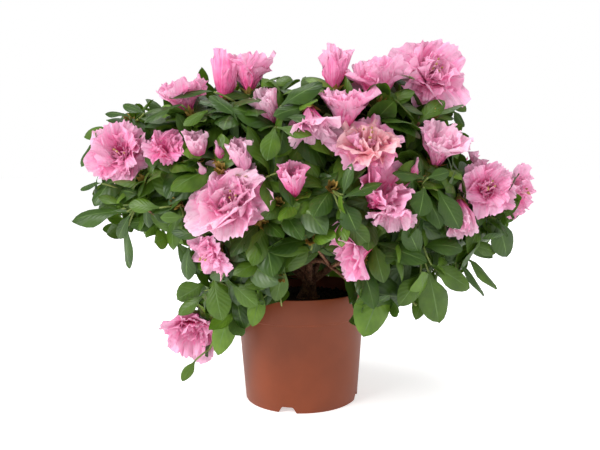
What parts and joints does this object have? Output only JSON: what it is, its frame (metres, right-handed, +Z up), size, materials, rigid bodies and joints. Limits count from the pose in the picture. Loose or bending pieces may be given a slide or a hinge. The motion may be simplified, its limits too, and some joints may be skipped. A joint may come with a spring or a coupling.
{
  "type": "potted azalea shrub",
  "caption": "Low, wide flowering azalea shrub with frilled pink blossoms and whorls of oval leaves, growing in a plain terracotta-coloured plastic pot.",
  "frame": {"origin": "centre of the pot's flat underside, where the plant stands", "axes": "+Z up, +X along the widest spread of the crown, -Y towards the front of the shrub"},
  "size_m": [0.3794, 0.3382, 0.3091],
  "materials": {
    "pot_plastic": "moulded terracotta-coloured polypropylene, matt with a faint sheen",
    "potting_soil": "dark crumbly peat with wood fibre",
    "bark": "thin brown bark, green to reddish on the young twigs",
    "foliage_and_blossom": "dark green leaves with a soft gloss under light pink petals with deep pink throats"
  },
  "bodies": {
    "root": {"pot": "pot_plastic", "soil": "potting_soil", "trunk": "bark", "bough_far_left": "bark", "bough_left_centre": "bark", "bough_centre": "bark", "bough_far_right": "bark", "bough_lower_left": "bark", "bough_lowest_left": "bark", "bough_upper_left": "bark", "bough_lower_centre": "bark", "bough_centre_right": "bark", "bough_right": "bark", "bough_lower_right": "bark", "bough_top": "bark", "bough_top_left": "bark", "bough_top_right": "bark", "bough_top_far_right": "bark", "bough_back": "bark", "bough_back_left": "bark", "bough_right_side": "bark", "bough_right_back": "bark", "bough_left_back": "bark", "bough_left_side": "bark", "bough_top_back_left": "bark", "bough_top_back_right": "bark", "bough_top_back": "bark", "mass_far_left": "foliage_and_blossom", "mass_left_centre": "foliage_and_blossom", "mass_centre": "foliage_and_blossom", "mass_far_right": "foliage_and_blossom", "mass_lower_left": "foliage_and_blossom", "mass_lowest_left": "foliage_and_blossom", "mass_upper_left": "foliage_and_blossom", "mass_lower_centre": "foliage_and_blossom", "mass_centre_right": "foliage_and_blossom", "mass_right": "foliage_and_blossom", "mass_lower_right": "foliage_and_blossom", "mass_top": "foliage_and_blossom", "mass_top_left": "foliage_and_blossom", "mass_top_right": "foliage_and_blossom", "mass_top_far_right": "foliage_and_blossom", "mass_back": "foliage_and_blossom", "mass_back_left": "foliage_and_blossom", "mass_right_side": "foliage_and_blossom", "mass_right_back": "foliage_and_blossom", "mass_left_back": "foliage_and_blossom", "mass_left_side": "foliage_and_blossom", "mass_top_back_left": "foliage_and_blossom", "mass_top_back_right": "foliage_and_blossom", "mass_top_back": "foliage_and_blossom"}
  },
  "joints": []
}
